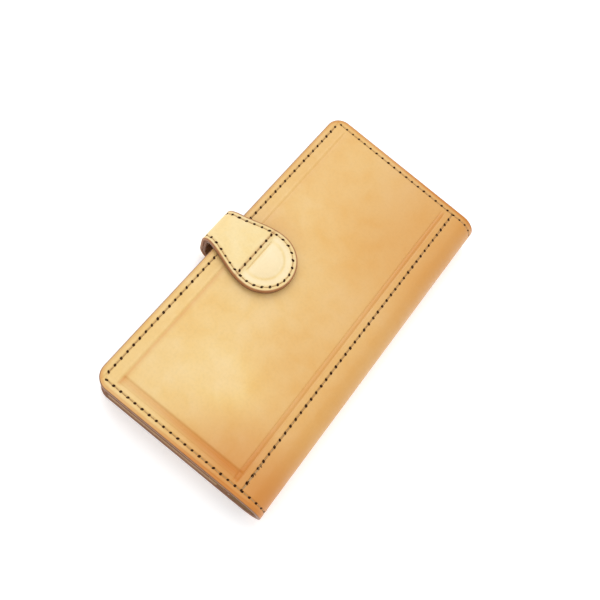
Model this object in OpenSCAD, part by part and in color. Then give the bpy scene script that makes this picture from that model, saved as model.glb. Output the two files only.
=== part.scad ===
// Long bifold wallet of undyed leather, closed by a strap with a rounded head.
// X runs from the fore-edge to the spine, Y along the spine, Z up from the face it rests on.
// The origin is under the middle of the closed wallet.

/* [Wallet] */
// Length along the spine
wallet_l = 190; // [186:1:194]
// Width from the fore-edge to the outside of the spine
wallet_w = 98; // [96:1:100]
// Corner radius at the fore-edge
corner_r = 8; // [6:0.5:9]
// Outside radius of the spine, half the closed thickness
spine_r = 10; // [10:0.1:10.5]
// Thickness of the cover leather
cover_t = 2; // [1.8:0.1:2]
// Thickness of the lining leather
lining_t = 1; // [0.8:0.1:1]
// Gap between the two sides of a fold line
fold_gap = 0.3; // [0.2:0.05:0.4]

/* [Stitching] */
// Distance of the perimeter row from the edge
stitch_inset = 3.7; // [3:0.1:4.5]
// Distance of the straight row from the outside of the spine
spine_row_inset = 15.4; // [14:0.2:17]
// Width of a stitching groove
groove_w = 1; // [0.9:0.1:1.2]
// Depth of a stitching groove
groove_d = 0.5; // [0.4:0.1:0.6]
// Width of the thread
thread_w = 0.7; // [0.5:0.1:0.8]

/* [Strap] */
// Thickness of each of the strap's two layers
strap_layer = 1.7; // [1.5:0.1:1.8]
// How far the strap stands out from the fore-edge
strap_proud = 7.5; // [7.2:0.1:8]
// Inside radius of the strap's bends
strap_bend_r = 3.6; // [3.2:0.1:3.8]
// Space between the strap's head and the front cover
strap_clear = 0.3; // [0.2:0.1:0.5]
// Width of the strap where it passes the fore-edge
riser_w = 21; // [19:0.5:24]
// Radius of the rounded head
head_r = 16.6; // [15:0.2:18]
// Distance from the fore-edge to the head's centre
head_x = 22.6; // [21:0.2:24]
// Distance from the fore-edge to the seam across the head
seam_x = 17.5; // [16:0.5:19]
// Distance of the strap's stitching from its edge
strap_inset = 2.3; // [2:0.1:2.8]
// Length of the tail inside the back cover
tail_l = 30; // [24:1:36]

/* [Closure] */
// Diameter of the magnet and of the steel disc
magnet_d = 15; // [12:0.5:16]
// Thickness of the magnet
magnet_t = 1.2; // [1:0.1:1.3]
// Thickness of the steel disc
disc_t = 0.8; // [0.6:0.1:1]

/* [Pockets] */
// Thickness of a pocket leaf
leaf_t = 1; // [0.8:0.1:1]
// Step between the mouths of two card leaves
card_step = 12; // [10:0.5:13]
// Distance from the fore-edge to the mouth of the deepest card leaf
card_mouth_x = 76; // [74:0.5:77]
// Clear height of the bill pocket
bill_gap = 2; // [1.8:0.1:2]
// Clear height of the coin pocket
coin_gap = 3; // [2.8:0.1:3]
// Width of the welt strips at the fore-edge
welt_w = 6; // [4:0.5:8]
// Depth of a folded gusset
gusset_depth = 8; // [6:0.5:10]

/* [Zip] */
// Distance from the fore-edge to the middle of the zip
zip_x = 72.5; // [72:0.1:73]
// Distance between two teeth of one row
tooth_pitch = 2.5; // [2.4:0.1:3]
// Length of the row of teeth
chain_l = 160; // [140:5:165]
// Length of the pull, from its pin
pull_l = 18; // [12:1:18]

/* [Hidden] */
$fn = 48;

// Overall
half_l = wallet_l / 2;
closed_t = 2 * spine_r;
fore_x = (wallet_w - strap_proud) / 2;
spine_x = wallet_w - spine_r;
lining_edge = 0.3;
leaf_edge = 0.5;
over = 0.1;
far = 2 * wallet_w;

// Heights of the layers, from the face it rests on
back_lining_z = cover_t;
bill_z = back_lining_z + lining_t;
bill_wall_z = bill_z + bill_gap;
coin_z = bill_wall_z + leaf_t;
coin_panel_z = coin_z + coin_gap;
front_cover_z = closed_t - cover_t;
front_lining_z = front_cover_z - lining_t;

// Stitching
thread_t = groove_d - 0.1;
thread_sink = 0.05;
row_half = half_l - stitch_inset;
spine_row_x = wallet_w - spine_row_inset;
row_corner_r = 2;

// Fold lines: half the gap, as an angle at the outside of a bend
spine_cut = fold_gap / 2 / spine_r * 180 / PI;
strap_out_r = strap_bend_r + 2 * strap_layer;
strap_cut = fold_gap / 2 / strap_out_r * 180 / PI;

// Strap
bend_x = strap_out_r - strap_proud;
head_z = closed_t + strap_clear;
top_bend_z = head_z - strap_bend_r;
tail_sink = 0.4;
low_bend_z = tail_sink + strap_out_r;
half_riser = riser_w / 2;
tail_half = half_riser - 1;
tongue_t = 1;
flare_l = head_x - bend_x;
flare_steps = 16;
head_steps = 32;

// Coin pocket and zip
panel_mouth_x = zip_x - 4.5;
strip_x = zip_x + 4.5;
pocket_x = zip_x + 8;
tape_t = 0.5;
tape_z = coin_panel_z - tape_t;
tape_edge = 2.1;
tape_w = 6;
tape_half = half_l - 9;
tooth_h = 1.4;
tooth_w = 0.85;
tooth_l = 2.8;
tooth_z = tape_z + tape_t / 2 - tooth_h / 2;
slider_l = 9;
slider_half_w = 3.6;
slider_plate_t = 0.8;
slider_gap = 0.25;
slider_flange_t = 0.8;
slider_top_z = tooth_z + tooth_h + slider_gap;
slider_low_z = tooth_z - slider_gap - slider_plate_t;
slider_y = -chain_l / 2 + 6;
ear_t = 0.8;
ear_gap = 1.4;
ear_l = 2.6;
pin_r = 0.5;
pin_z = slider_top_z + slider_plate_t + 1.4;
eye_r = 1.2;
eye_w = 1;
pull_w = 4;
pull_t = 1;
pin_clear = 0.05;

COVER = "#dfb06c";
STRAP = "#f2dcae";
LINING = "#c58f55";
POCKET = "#d09a5e";
THREAD = "#4b2a0a";
TAPE = "#5a4632";
METAL = "#b8944c";
STEEL = "#9a9a9c";

// Places children measured from the fore-edge into the part's own frame
module in_frame() {
    translate([-fore_x, 0, 0]) children();
}

// Extrudes a plan from height z1 to height z2
module slab(z1, z2) {
    translate([0, 0, z1]) linear_extrude(z2 - z1) children();
}

// Plan of a panel: straight along x2, with round corners of radius r along x1
module panel_plan(x1, x2, half, r) {
    translate([x1 + r, -half]) square([x2 - x1 - r, 2 * half]);
    translate([x1, r - half]) square([r, 2 * (half - r)]);
    for (side = [-1, 1]) translate([x1 + r, side * (half - r)]) circle(r);
}

// Plan of a stitch row of width w, inset from the fore-edge and the two ends
module perimeter_plan(w) {
    difference() {
        panel_plan(stitch_inset - w / 2, wallet_w + over, row_half + w / 2, row_corner_r + w / 2);
        panel_plan(stitch_inset + w / 2, wallet_w + 2 * over, row_half - w / 2, row_corner_r - w / 2);
    }
}

// Plan of the straight stitch row beside the spine
module spine_row_plan(w) {
    translate([spine_row_x - w / 2, groove_w - row_half]) square([w, 2 * (row_half - groove_w)]);
}

// Stands a section drawn in X and Z up, and extrudes it half that width each way along Y
module across(width) {
    rotate([90, 0, 0]) translate([0, 0, -width / 2]) linear_extrude(width) children();
}

// Region inside the closed fold at a depth below its outside
module fold_region(depth) {
    translate([-2 * over, depth]) square([spine_x + 2 * over, closed_t - 2 * depth]);
    translate([spine_x, spine_r]) circle(spine_r - depth);
}

// Section of the sheet between two depths below the outside of the fold
module fold_sheet(d1, d2) {
    difference() {
        fold_region(d1);
        fold_region(d2);
        translate([-far, d2]) square([far, closed_t - 2 * d2]);
    }
}

// Side of the fold line that belongs to the front panel
module front_side() {
    a = 45 + spine_cut;
    polygon([
        [-far, spine_r], [spine_x, spine_r],
        [spine_x + far * cos(a), spine_r + far * sin(a)], [-far, spine_r + far * sin(a)]
    ]);
}

// Wedge between the two fold lines, which belongs to the spine
module spine_side() {
    a = 45 - spine_cut;
    polygon([
        [spine_x, spine_r], [spine_x + far * cos(a), spine_r - far * sin(a)],
        [spine_x + far * cos(a), spine_r + far * sin(a)]
    ]);
}

// Sheet of the front panel between two depths, cut to the plan given as a child
module front_sheet(d1, d2) {
    intersection() {
        across(wallet_l + 2) intersection() {
            fold_sheet(d1, d2);
            front_side();
        }
        slab(-over, closed_t + 2 * over) children();
    }
}

// Sheet of the spine between two depths, cut to the plan given as a child
module spine_sheet(d1, d2) {
    intersection() {
        across(wallet_l + 2) intersection() {
            fold_sheet(d1, d2);
            spine_side();
        }
        slab(-over, closed_t + 2 * over) children();
    }
}

// Cover panel lying with its outside face up at the closed thickness
module cover_panel() {
    difference() {
        front_sheet(0, cover_t) panel_plan(0, wallet_w + over, half_l, corner_r);
        front_sheet(-over, groove_d) perimeter_plan(groove_w);
        slab(closed_t - groove_d, closed_t + over) spine_row_plan(groove_w);
    }
}

// Thread of the perimeter row of that panel
module cover_thread() {
    front_sheet(thread_sink, thread_sink + thread_t) perimeter_plan(thread_w);
}

// Thread of the row beside the spine
module cover_spine_thread() {
    top = closed_t - thread_sink;
    slab(top - thread_t, top) spine_row_plan(thread_w);
}

// Plan of the lining, a little inside the cover's edge
module lining_plan() {
    panel_plan(lining_edge, wallet_w + over, half_l - lining_edge, corner_r - lining_edge);
}

// Turns a front panel into the back panel that lies under it
module as_back() {
    translate([0, 0, closed_t]) mirror([0, 0, 1]) children();
}

// ---- back ----

module back_cover() {
    color(COVER) in_frame() difference() {
        as_back() cover_panel();
        slab(cover_t - tongue_t, cover_t + over)
            translate([-over, -tail_half]) square([tail_l + over, 2 * tail_half]);
        slab(-over, groove_d) tail_row_plan(groove_w);
    }
}

module back_lining() {
    color(LINING) in_frame() as_back() front_sheet(cover_t, cover_t + lining_t) lining_plan();
}

module back_perimeter_thread() {
    color(THREAD) in_frame() as_back() cover_thread();
}

module back_spine_thread() {
    color(THREAD) in_frame() as_back() cover_spine_thread();
}

// Strip that sets a pocket's height along the fore-edge
module welt(z1, z2) {
    slab(z1, z2) intersection() {
        panel_plan(leaf_edge, spine_x, half_l - leaf_edge, corner_r - leaf_edge);
        translate([leaf_edge, -half_l]) square([welt_w, wallet_l]);
    }
}

// Gusset folded inwards, at the end on the given side
module gusset(z1, z2, side) {
    fold_t = 0.5;
    mid = (z1 + z2) / 2;
    outer = half_l - leaf_edge;
    translate([corner_r + 0.5, 0, 0]) rotate([90, 0, 90]) linear_extrude(zip_x - corner_r)
        polygon([
            [side * outer, z1], [side * outer, z1 + fold_t],
            [side * (outer - gusset_depth + 1), mid],
            [side * outer, z2 - fold_t], [side * outer, z2],
            [side * (outer - gusset_depth), mid + 0.1], [side * (outer - gusset_depth), mid - 0.1]
        ]);
}

module bill_welt() {
    color(POCKET) in_frame() welt(bill_z, bill_wall_z);
}

module bill_gusset_near() {
    color(LINING) in_frame() gusset(bill_z, bill_wall_z, -1);
}

module bill_gusset_far() {
    color(LINING) in_frame() gusset(bill_z, bill_wall_z, 1);
}

module bill_wall() {
    color(POCKET) in_frame() slab(bill_wall_z, coin_z)
        panel_plan(leaf_edge, pocket_x, half_l - leaf_edge, corner_r - leaf_edge);
}

module coin_welt() {
    color(POCKET) in_frame() welt(coin_z, coin_panel_z);
}

module coin_gusset_near() {
    color(LINING) in_frame() gusset(coin_z, coin_panel_z - tape_t, -1);
}

module coin_gusset_far() {
    color(LINING) in_frame() gusset(coin_z, coin_panel_z - tape_t, 1);
}

module coin_front_panel() {
    top = coin_panel_z + leaf_t;
    color(POCKET) in_frame() difference() {
        slab(coin_panel_z, top)
            panel_plan(leaf_edge, panel_mouth_x, half_l - leaf_edge, corner_r - leaf_edge);
        slab(top - groove_d, top + over) zip_row_plan(panel_mouth_x - strap_inset, groove_w);
    }
}

module coin_top_strip() {
    top = coin_panel_z + leaf_t;
    color(POCKET) in_frame() difference() {
        slab(coin_panel_z, top)
            translate([strip_x, leaf_edge - half_l]) square([pocket_x - strip_x, 2 * (half_l - leaf_edge)]);
        slab(top - groove_d, top + over) zip_row_plan((strip_x + pocket_x) / 2, groove_w);
    }
}

module coin_spine_wall() {
    color(POCKET) in_frame() slab(coin_z, coin_panel_z)
        translate([pocket_x - leaf_t, leaf_edge - half_l]) square([leaf_t, 2 * (half_l - leaf_edge)]);
}

// Plan of a stitch row along the zip
module zip_row_plan(x, w) {
    translate([x - w / 2, -tape_half]) square([w, 2 * tape_half]);
}

module coin_zip_thread() {
    top = coin_panel_z + leaf_t - thread_sink;
    color(THREAD) in_frame() slab(top - thread_t, top) {
        zip_row_plan(panel_mouth_x - strap_inset, thread_w);
        zip_row_plan((strip_x + pocket_x) / 2, thread_w);
    }
}

module zip_tape(side) {
    width = side > 0 ? pocket_x - leaf_t - zip_x - tape_edge : tape_w;
    near = side > 0 ? zip_x + tape_edge : zip_x - tape_edge - width;
    slab(tape_z, coin_panel_z) translate([near, -tape_half]) square([width, 2 * tape_half]);
}

module zip_tape_lower() {
    color(TAPE) in_frame() zip_tape(-1);
}

module zip_tape_upper() {
    color(TAPE) in_frame() zip_tape(1);
}

// One row of teeth, reaching from its tape past the middle of the zip
module zip_teeth(side) {
    count = floor(chain_l / tooth_pitch);
    start = side > 0 ? zip_x + tape_edge - tooth_l : zip_x - tape_edge;
    shift = side > 0 ? tooth_pitch / 2 : 0;
    for (i = [0 : count - 1])
        translate([start, i * tooth_pitch + shift - chain_l / 2, tooth_z])
            cube([tooth_l, tooth_w, tooth_h]);
}

module zip_teeth_lower() {
    color(METAL) in_frame() zip_teeth(-1);
}

module zip_teeth_upper() {
    color(METAL) in_frame() zip_teeth(1);
}

module zip_stops() {
    stop_l = 1.6;
    color(METAL) in_frame() for (side = [-1, 1])
        translate([zip_x - tape_edge, side * (chain_l / 2 + 2) - stop_l / 2, tooth_z])
            cube([2 * tape_edge, stop_l, tooth_h]);
}

// Plan of the stitch row round the strap's tail
module tail_row_plan(w) {
    x1 = stitch_inset + 4;
    x2 = tail_l - strap_inset;
    y = tail_half - strap_inset;
    difference() {
        translate([x1 - w / 2, -y - w / 2]) square([x2 - x1 + w, 2 * y + w]);
        translate([x1 + w / 2, w / 2 - y]) square([x2 - x1 - w, 2 * y - w]);
    }
}

module strap_tail_outer() {
    color(STRAP) in_frame() {
        across(riser_w) intersection() {
            strap_sheet(0, strap_layer);
            tail_side();
        }
        slab(cover_t - tongue_t, cover_t)
            translate([bend_x, -tail_half]) square([tail_l - bend_x, 2 * tail_half]);
    }
}

module strap_tail_lining() {
    color(LINING) in_frame() across(riser_w) intersection() {
        strap_sheet(strap_layer, 2 * strap_layer);
        tail_side();
    }
}

module strap_tail_thread() {
    color(THREAD) in_frame() slab(thread_sink, thread_sink + thread_t) tail_row_plan(thread_w);
}

// ---- zip slider and pull ----

module zip_slider() {
    inner = slider_half_w - slider_flange_t;
    flange_top = tape_z + tape_t + 0.15;
    flange_low = tape_z - 0.15;
    color(METAL) in_frame() translate([zip_x, slider_y, 0]) {
        translate([-slider_half_w, -slider_l / 2, slider_top_z])
            cube([2 * slider_half_w, slider_l, slider_plate_t]);
        translate([-slider_half_w, -slider_l / 2, slider_low_z])
            cube([2 * slider_half_w, slider_l, slider_plate_t]);
        for (side = [-1, 1]) translate([side * (inner + slider_flange_t / 2), 0, 0]) {
            translate([-slider_flange_t / 2, -slider_l / 2, flange_top])
                cube([slider_flange_t, slider_l, slider_top_z - flange_top]);
            translate([-slider_flange_t / 2, -slider_l / 2, slider_low_z])
                cube([slider_flange_t, slider_l, flange_low - slider_low_z]);
        }
        for (side = [-1, 1])
            translate([side * (ear_gap + ear_t) / 2 - ear_t / 2, -ear_l / 2, slider_top_z])
                cube([ear_t, ear_l, pin_z + 1 - slider_top_z]);
        translate([-ear_gap / 2 - ear_t / 2, 0, pin_z]) rotate([0, 90, 0])
            cylinder(h = ear_gap + ear_t, r = pin_r);
    }
}

module zip_pull() {
    color(METAL) in_frame() translate([zip_x, slider_y, pin_z]) difference() {
        union() {
            translate([-eye_w / 2, 0, 0]) rotate([0, 90, 0]) cylinder(h = eye_w, r = eye_r);
            translate([-eye_w / 2, 0, -pull_t / 2]) cube([eye_w, eye_r + 2, pull_t]);
            translate([0, 0, -pull_t / 2]) linear_extrude(pull_t) {
                translate([-pull_w / 2, eye_r + 1]) square([pull_w, pull_l - eye_r - 1 - pull_w / 2]);
                translate([0, pull_l - pull_w / 2]) circle(pull_w / 2);
            }
        }
        translate([-eye_w, 0, 0]) rotate([0, 90, 0]) cylinder(h = 2 * eye_w, r = pin_r + pin_clear);
    }
}

// ---- spine ----

module spine_cover() {
    color(COVER) in_frame() difference() {
        spine_sheet(0, cover_t) panel_plan(0, wallet_w + over, half_l, corner_r);
        spine_sheet(-over, groove_d) perimeter_plan(groove_w);
    }
}

module spine_lining() {
    color(LINING) in_frame() spine_sheet(cover_t, cover_t + lining_t) lining_plan();
}

module spine_thread() {
    color(THREAD) in_frame() spine_sheet(thread_sink, thread_sink + thread_t) perimeter_plan(thread_w);
}

// ---- front ----

module front_cover() {
    color(COVER) in_frame() difference() {
        cover_panel();
        slab(front_cover_z - over, front_cover_z + disc_t) translate([head_x, 0]) circle(d = magnet_d);
    }
}

module front_lining() {
    color(LINING) in_frame() front_sheet(cover_t, cover_t + lining_t) lining_plan();
}

module closure_disc() {
    color(STEEL) in_frame() slab(front_cover_z, front_cover_z + disc_t)
        translate([head_x, 0]) circle(d = magnet_d);
}

// A card leaf, counted from the lining, on the near (-1) or far (1) side
module card_leaf(count, side) {
    z = front_lining_z - count * leaf_t;
    mouth = card_mouth_x - (count - 1) * card_step;
    middle = 0.5;
    color(POCKET) in_frame() difference() {
        slab(z, z + leaf_t) intersection() {
            panel_plan(leaf_edge, mouth, half_l - leaf_edge, corner_r - leaf_edge);
            translate([0, side > 0 ? middle : -half_l]) square([wallet_w, half_l - middle]);
        }
        if (count == 4) slab(z - over, z + groove_d) divider_plan(side, groove_w);
    }
}

// Plan of the stitching beside the middle of the card columns
module divider_plan(side, w) {
    x1 = stitch_inset + 2;
    translate([x1, side * 2.5 - w / 2]) square([card_mouth_x - 3 * card_step - x1 - 2, w]);
}

module card_leaf_near_1() { card_leaf(1, -1); }
module card_leaf_near_2() { card_leaf(2, -1); }
module card_leaf_near_3() { card_leaf(3, -1); }
module card_leaf_near_4() { card_leaf(4, -1); }
module card_leaf_far_1() { card_leaf(1, 1); }
module card_leaf_far_2() { card_leaf(2, 1); }
module card_leaf_far_3() { card_leaf(3, 1); }
module card_leaf_far_4() { card_leaf(4, 1); }

module card_divider_thread() {
    z = front_lining_z - 4 * leaf_t + thread_sink;
    color(THREAD) in_frame() for (side = [-1, 1])
        slab(z, z + thread_t) divider_plan(side, thread_w);
}

module front_perimeter_thread() {
    color(THREAD) in_frame() cover_thread();
}

module front_spine_thread() {
    color(THREAD) in_frame() cover_spine_thread();
}

// ---- strap riser ----

// Region inside the strap's loop at a depth below its outside
module strap_region(depth) {
    r = strap_out_r - depth;
    translate([bend_x, tail_sink + depth]) square([far, head_z + 2 * strap_layer - tail_sink - 2 * depth]);
    translate([bend_x - r, low_bend_z]) square([far, top_bend_z - low_bend_z]);
    translate([bend_x, low_bend_z]) circle(r);
    translate([bend_x, top_bend_z]) circle(r);
}

// Section of the strap's sheet between two depths below its outside
module strap_sheet(d1, d2) {
    difference() {
        strap_region(d1);
        strap_region(d2);
        translate([far / 2, -far]) square([far, 3 * far]);
    }
}

// Side of the upper fold line that belongs to the head
module head_side() {
    a = 45 + strap_cut;
    polygon([
        [far, top_bend_z], [bend_x, top_bend_z],
        [bend_x - far * cos(a), top_bend_z + far * sin(a)], [far, top_bend_z + far * sin(a)]
    ]);
}

// Space between the two fold lines, which belongs to the riser
module riser_side() {
    a = 45 - strap_cut;
    polygon([
        [bend_x, top_bend_z], [bend_x, low_bend_z],
        [bend_x - far * cos(a), low_bend_z - far * sin(a)],
        [bend_x - far * cos(a), top_bend_z + far * sin(a)]
    ]);
}

// Side of the lower fold line that belongs to the tail, up to the fore-edge
module tail_side() {
    a = 45 + strap_cut;
    polygon([
        [0, low_bend_z], [bend_x, low_bend_z],
        [bend_x - far * cos(a), low_bend_z - far * sin(a)], [0, low_bend_z - far * sin(a)]
    ]);
}

// The riser's sheet between two depths, of the given width
module riser_sheet(d1, d2, width) {
    across(width) intersection() {
        strap_sheet(d1, d2);
        riser_side();
    }
}

module strap_riser_outer() {
    color(STRAP) in_frame() difference() {
        riser_sheet(0, strap_layer, riser_w);
        for (side = [-1, 1]) translate([0, side * (half_riser - strap_inset), 0])
            riser_sheet(-over, groove_d, groove_w);
    }
}

module strap_riser_lining() {
    color(LINING) in_frame() riser_sheet(strap_layer, 2 * strap_layer, riser_w);
}

module strap_riser_thread() {
    color(THREAD) in_frame() for (side = [-1, 1])
        translate([0, side * (half_riser - strap_inset), 0])
            riser_sheet(thread_sink, thread_sink + thread_t, thread_w);
}

// ---- strap head ----

// Half width of the head at distance x from the fore-edge, up to the head's centre
function flare(x) = half_riser + (head_r - half_riser) * sin(90 * (x - bend_x) / flare_l);

// Plan of the head and of the strap behind it, inset from its edge
module head_plan(inset) {
    r = head_r - inset;
    xs = [for (i = [0 : flare_steps - 1]) bend_x + flare_l * i / flare_steps];
    polygon(concat(
        [[-far, half_riser - inset]],
        [for (x = xs) [x, flare(x) - inset]],
        [for (i = [0 : head_steps]) [head_x + r * sin(180 * i / head_steps), r * cos(180 * i / head_steps)]],
        [for (i = [flare_steps - 1 : -1 : 0]) [xs[i], inset - flare(xs[i])]],
        [[-far, inset - half_riser]]
    ));
}

// Plan of the head's stitch rows: along its edge, and across it at the seam
module head_row_plan(w) {
    difference() {
        head_plan(strap_inset - w / 2);
        difference() {
            head_plan(strap_inset + w / 2);
            translate([seam_x - w / 2, -head_r]) square([w, 2 * head_r]);
        }
    }
}

// The head's sheet between two depths, cut to the plan given as a child
module head_sheet(d1, d2) {
    intersection() {
        across(2 * head_r + 2) intersection() {
            strap_sheet(d1, d2);
            head_side();
        }
        slab(top_bend_z, head_z + 2 * strap_layer + 2 * over) children();
    }
}

module strap_head_outer() {
    color(STRAP) in_frame() difference() {
        head_sheet(0, strap_layer) head_plan(0);
        head_sheet(-over, groove_d) head_row_plan(groove_w);
    }
}

module strap_head_lining() {
    mid = head_z + strap_layer;
    color(LINING) in_frame() difference() {
        head_sheet(strap_layer, 2 * strap_layer) head_plan(0);
        slab(mid - magnet_t, mid + over) translate([head_x, 0]) circle(d = magnet_d);
    }
}

module strap_magnet() {
    mid = head_z + strap_layer;
    color(STEEL) in_frame() slab(mid - magnet_t, mid) translate([head_x, 0]) circle(d = magnet_d);
}

module strap_head_thread() {
    color(THREAD) in_frame() head_sheet(thread_sink, thread_sink + thread_t) head_row_plan(thread_w);
}

back_cover();
back_lining();
bill_welt();
bill_gusset_near();
bill_gusset_far();
bill_wall();
coin_welt();
coin_gusset_near();
coin_gusset_far();
coin_front_panel();
coin_top_strip();
coin_spine_wall();
zip_tape_lower();
zip_tape_upper();
zip_teeth_lower();
zip_teeth_upper();
zip_stops();
back_perimeter_thread();
back_spine_thread();
coin_zip_thread();
strap_tail_outer();
strap_tail_lining();
strap_tail_thread();
zip_slider();
zip_pull();
spine_cover();
spine_lining();
spine_thread();
front_cover();
front_lining();
closure_disc();
card_leaf_near_1();
card_leaf_near_2();
card_leaf_near_3();
card_leaf_near_4();
card_leaf_far_1();
card_leaf_far_2();
card_leaf_far_3();
card_leaf_far_4();
card_divider_thread();
front_perimeter_thread();
front_spine_thread();
strap_riser_outer();
strap_riser_lining();
strap_riser_thread();
strap_head_outer();
strap_head_lining();
strap_magnet();
strap_head_thread();
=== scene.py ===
"""Long leather wallet with a strap closure: the looks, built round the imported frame."""
import math

import bmesh
import bpy
import numpy as np
from mathutils import Matrix, Vector


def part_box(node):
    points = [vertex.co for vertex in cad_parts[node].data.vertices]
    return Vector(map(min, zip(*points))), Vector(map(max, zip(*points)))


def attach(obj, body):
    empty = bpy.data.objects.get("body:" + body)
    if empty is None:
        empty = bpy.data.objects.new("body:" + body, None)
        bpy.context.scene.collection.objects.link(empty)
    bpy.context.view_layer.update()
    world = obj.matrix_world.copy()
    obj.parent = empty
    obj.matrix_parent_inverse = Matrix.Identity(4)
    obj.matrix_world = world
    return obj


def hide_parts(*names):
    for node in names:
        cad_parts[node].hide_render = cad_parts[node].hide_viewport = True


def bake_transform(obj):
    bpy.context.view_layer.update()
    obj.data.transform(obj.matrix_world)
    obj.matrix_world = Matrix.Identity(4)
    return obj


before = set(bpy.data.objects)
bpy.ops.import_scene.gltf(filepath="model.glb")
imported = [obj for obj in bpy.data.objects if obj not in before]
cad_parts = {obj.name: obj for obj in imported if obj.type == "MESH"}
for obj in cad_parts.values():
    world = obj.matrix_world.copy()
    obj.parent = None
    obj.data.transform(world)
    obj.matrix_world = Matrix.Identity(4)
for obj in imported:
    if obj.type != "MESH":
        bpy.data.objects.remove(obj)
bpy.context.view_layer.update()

MM = 0.001


def box_mm(node):
    """Lowest and highest corner of a CAD node, in millimetres."""
    low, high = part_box(node)
    return np.array(low) / MM, np.array(high) / MM


# ---- sizes, from the frame (mm)

FORE_X = box_mm("front_cover")[0][0]
_, HALF_L, TOP = box_mm("front_cover")[1]
SPINE_R = TOP / 2
FLAT_L = box_mm("spine_cover")[1][0] - SPINE_R - FORE_X  # flat part of a cover panel
HALF_SHEET = FLAT_L + SPINE_R * math.pi / 2  # fore-edge to the middle of the spine
LINING_TOP = box_mm("front_lining")[1][2]
LEAF_TOP = box_mm("card_leaf_near_1")[1][2]
COVER_T = TOP - LINING_TOP
LINING_T = LINING_TOP - LEAF_TOP
LINING_EDGE = 0.3

CORNER_R = 8.0
STITCH_INSET = 3.7
SPINE_ROW = 82.6  # from the fore-edge to the straight row
ROW_R = 2.0  # corner of the row round the cover
ROW_END = 2.0  # how far the rows inside stop from a corner or a mouth
PITCH = 4.1
STRAP_PITCH = 4.0
SEAM_PITCH = 3.9
BOX_PITCH = 3.6  # round the strap's tail
ZIP_PITCH = 3.4  # beside the zip
GROOVE_D = 0.42
GROOVE_W = 0.75  # half the width of a stitching groove
THREAD_R = 0.20
THREAD_SIDES = 6
THREAD_RINGS = 7
HOLE_L = 1.00  # half the length and width of a stitch hole
HOLE_W = 0.74
HOLE_SIDES = 10
EDGE_CREASE = (1.25, 0.35, 0.10)  # line beside the cover's edge: (inset, half width, depth)

# Lines that the leaves inside have pressed into the cover: (place, half width, depth), where place is
# from the fore-edge for those beside the spine and the fore-edge, and from one end for the others
SPINE_LINES = ((77.0, 0.8, 0.30), (79.0, 0.7, 0.24))
END_LINES = ((9.6, 1.3, 0.42), (6.2, 0.6, 0.14))
FORE_RIDGE = (9.0, 0.9, 0.12)
FORE_LINE = (10.2, 0.7, 0.14)

# The strap: its outside face runs up a riser, round a bend and along the flat head
STRAP_TOP = box_mm("strap_head_outer")[1][2]
STRAP_LOW = box_mm("strap_tail_outer")[0][2]
STRAP_LAYER = STRAP_TOP - box_mm("strap_head_lining")[1][2]
STRAP_INNER_R = 3.6  # radius of its bend at the inside
STRAP_BEND = STRAP_INNER_R + 2 * STRAP_LAYER  # and at the outside
STRAP_RISER_X = box_mm("strap_riser_outer")[0][0]
STRAP_MID_Z = (STRAP_TOP + STRAP_LOW) / 2
STRAP_RISE = STRAP_TOP - STRAP_BEND - STRAP_MID_Z  # middle of the riser to the bend
STRAP_ARC = STRAP_BEND * math.pi / 2
HEAD_X = 22.6  # fore-edge to the head's centre
HEAD_R = 16.9
HEAD_Q = STRAP_RISE + STRAP_ARC + HEAD_X - (STRAP_RISER_X + STRAP_BEND - FORE_X)
RISER_HALF = 10.3
FLARE_L = 30.1  # from the riser's width to the head's
SEAM_Q = HEAD_Q - 5.1  # the cross seam
STRAP_INSET = 2.3
STRAP_GROOVE_D = 0.40
STRAP_CREASE = (1.0, 0.3, 0.08)  # beside its edge, as EDGE_CREASE
MARK_R = 10.2  # radius of the magnet's D-shaped mark
MARK_START = SEAM_Q + 2.4  # straight side of the mark


# ---- small helpers

def smooth(x):
    """Smoothstep of x, clipped to 0..1."""
    x = np.clip(x, 0.0, 1.0)
    return x * x * (3 - 2 * x)


def groove(distance, half_width, depth):
    """Depth of a round-bottomed groove at a distance from its middle."""
    return depth * (0.5 + 0.5 * np.cos(np.pi * np.clip(np.abs(distance) / half_width, 0, 1)))


def crease(distance, shape):
    """Depth of a crease of that (place, half width, depth)."""
    at, half_width, depth = shape
    return groove(distance - at, half_width, depth)


def graded(length, zones, coarse):
    """Line positions from 0 to length: each zone is (from, to, step), and the rest is coarse."""
    marks = [0.0]
    while marks[-1] < length - 1e-6:
        here = marks[-1]
        step = coarse
        for start, end, fine in zones:
            if start - 1e-6 <= here < end - 1e-6:
                step = fine
            elif start > here:
                step = min(step, start - here)
        marks.append(min(here + max(step, 0.02), length))
    if len(marks) > 2 and marks[-1] - marks[-2] < 0.02:
        del marks[-2]
    return np.array(marks)


def mirrored(ends, half):
    """Line positions from -half to half, from the distances of one side's lines to its end."""
    return np.concatenate([-half + ends, [0.0], (half - ends)[::-1]])


def cut_back(radius, away):
    """How far a round corner cuts back an edge, at a point away from the side that it starts at."""
    past = np.clip(radius - away, 0, radius)
    return radius - np.sqrt(np.maximum(radius ** 2 - past ** 2, 0))


def xyz(x, y, z):
    """Points from their coordinates."""
    return np.stack(np.broadcast_arrays(x, y, z), -1)


def show(obj):
    """Puts an object in the scene."""
    bpy.context.scene.collection.objects.link(obj)
    return obj


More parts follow.
